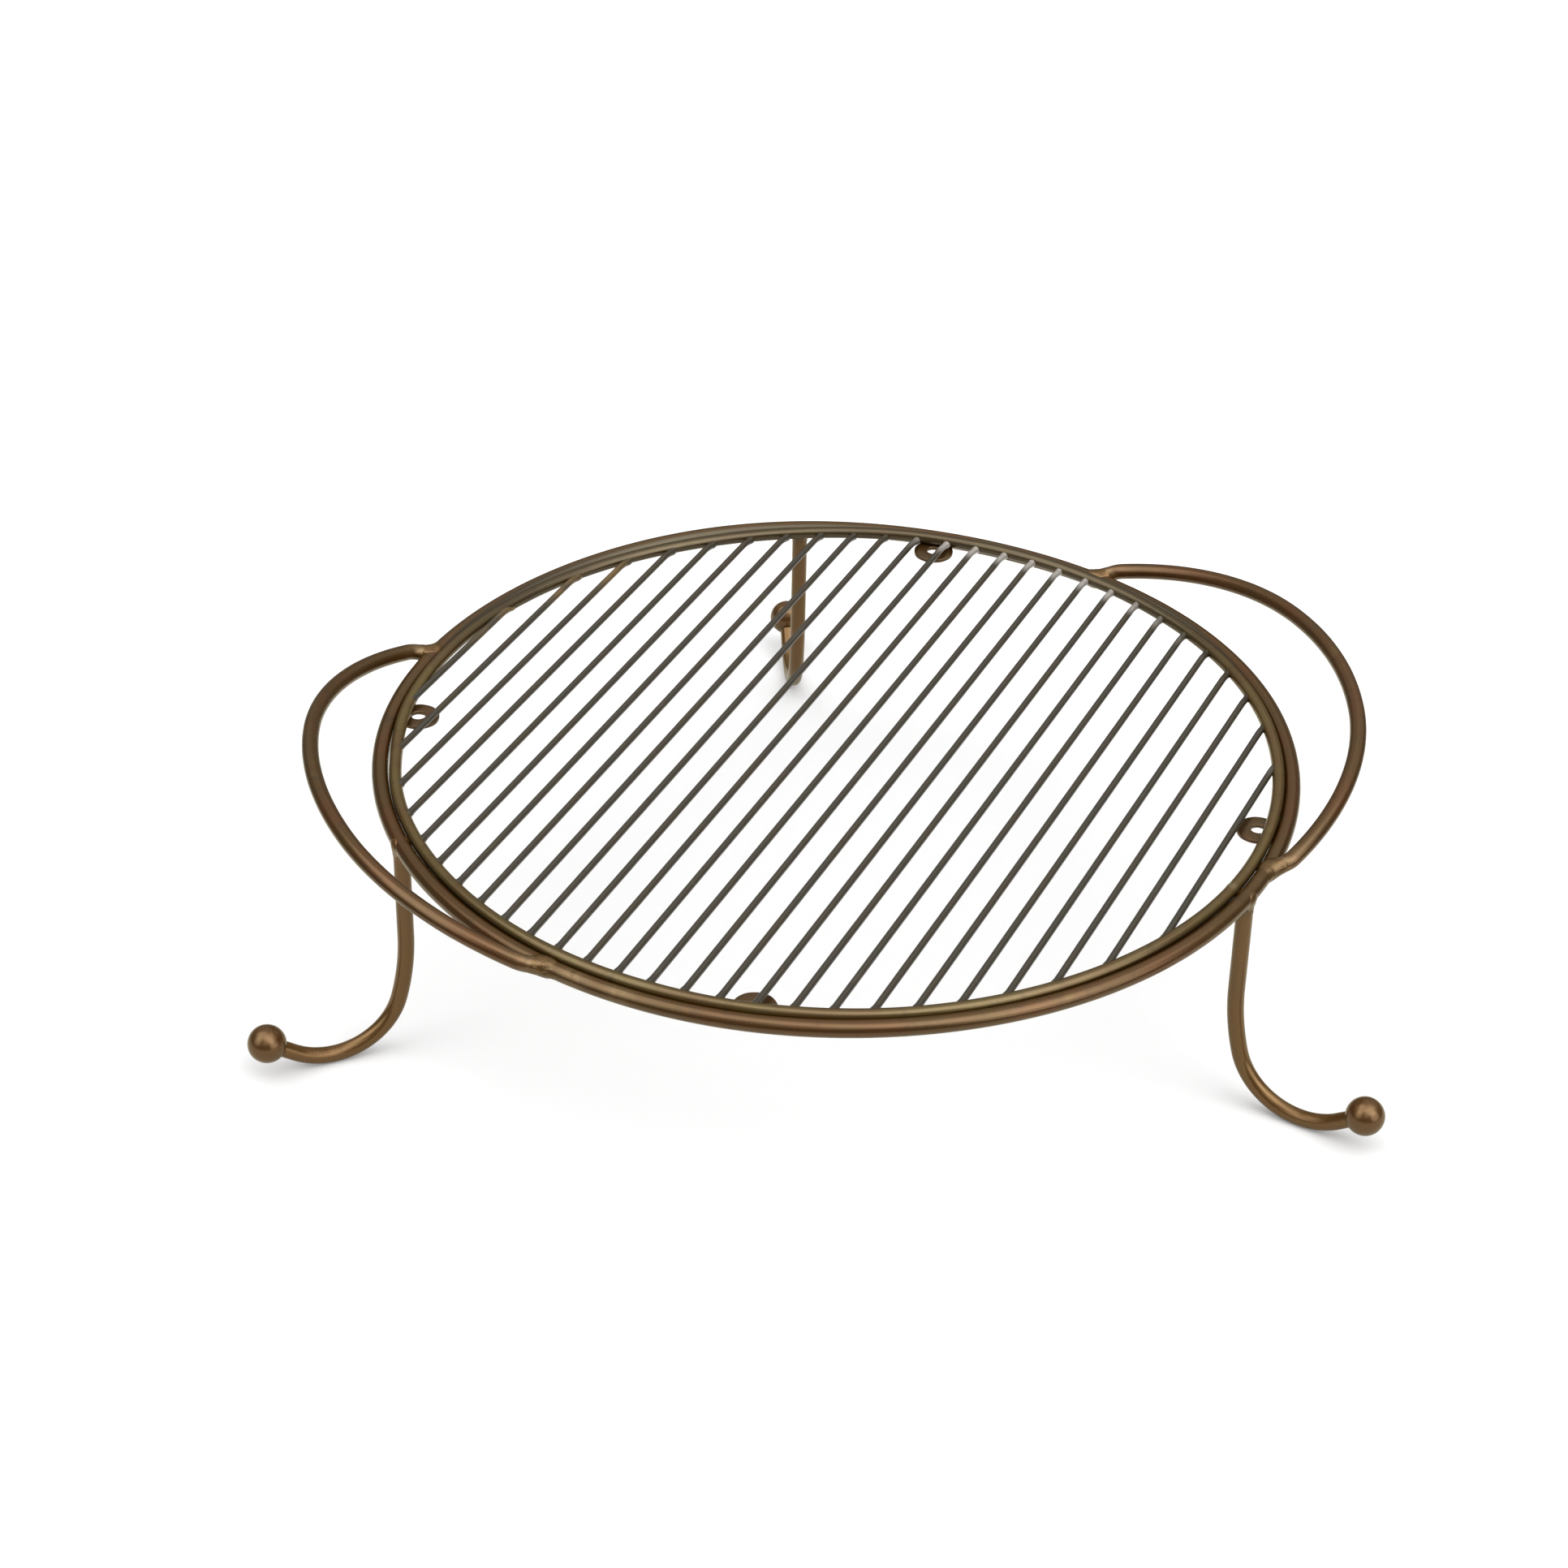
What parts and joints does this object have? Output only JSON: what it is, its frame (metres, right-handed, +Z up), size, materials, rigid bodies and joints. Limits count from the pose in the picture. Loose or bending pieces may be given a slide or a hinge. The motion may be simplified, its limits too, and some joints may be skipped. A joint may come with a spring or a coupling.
{
  "type": "footed round cooling rack",
  "caption": "Round wire cooling rack: a rod ring stand on curled ball-tipped legs with bowed side handles, holding a loose round grate of parallel wires.",
  "frame": {"origin": "on the table, under the centre of the outer ring", "axes": "+Z up, +X from the centre through the right-hand handle, +Y away from the two front legs"},
  "size_m": [0.4316, 0.4059, 0.1124],
  "materials": {
    "stand_bronze": "satin antique bronze lacquer over steel rod",
    "tab_bronze": "satin antique bronze lacquer over steel sheet",
    "weld_bronze": "satin antique bronze lacquer over lumpy weld metal",
    "grate_ring_bronze": "satin olive gold lacquer over steel rod",
    "grate_wire_bronze": "satin grey olive lacquer over steel wire"
  },
  "bodies": {
    "stand": {"outer_ring": "stand_bronze", "leg_front_left": "stand_bronze", "leg_front_right": "stand_bronze", "leg_rear": "stand_bronze", "foot_ball_front_left": "stand_bronze", "foot_ball_front_right": "stand_bronze", "foot_ball_rear": "stand_bronze", "handle_left": "stand_bronze", "handle_right": "stand_bronze", "support_tab_1": "tab_bronze", "support_tab_2": "tab_bronze", "support_tab_3": "tab_bronze", "support_tab_4": "tab_bronze", "handle_weld_beads": "weld_bronze", "leg_weld_beads": "weld_bronze", "tab_weld_beads": "weld_bronze"},
    "grate": {"grate_ring": "grate_ring_bronze", "grate_wire_01": "grate_wire_bronze", "grate_wire_02": "grate_wire_bronze", "grate_wire_03": "grate_wire_bronze", "grate_wire_04": "grate_wire_bronze", "grate_wire_05": "grate_wire_bronze", "grate_wire_06": "grate_wire_bronze", "grate_wire_07": "grate_wire_bronze", "grate_wire_08": "grate_wire_bronze", "grate_wire_09": "grate_wire_bronze", "grate_wire_10": "grate_wire_bronze", "grate_wire_11": "grate_wire_bronze", "grate_wire_12": "grate_wire_bronze", "grate_wire_13": "grate_wire_bronze", "grate_wire_14": "grate_wire_bronze", "grate_wire_15": "grate_wire_bronze", "grate_wire_16": "grate_wire_bronze", "grate_wire_17": "grate_wire_bronze", "grate_wire_18": "grate_wire_bronze", "grate_wire_19": "grate_wire_bronze", "grate_wire_20": "grate_wire_bronze", "grate_wire_21": "grate_wire_bronze", "grate_wire_22": "grate_wire_bronze", "grate_wire_23": "grate_wire_bronze", "grate_wire_24": "grate_wire_bronze", "grate_wire_25": "grate_wire_bronze", "grate_wire_26": "grate_wire_bronze"}
  },
  "joints": [
    {"name": "grate_lift", "type": "slide", "parent": "stand", "child": "grate", "axis": [0, 0, 1], "range_m": [0, 0.12]}
  ]
}
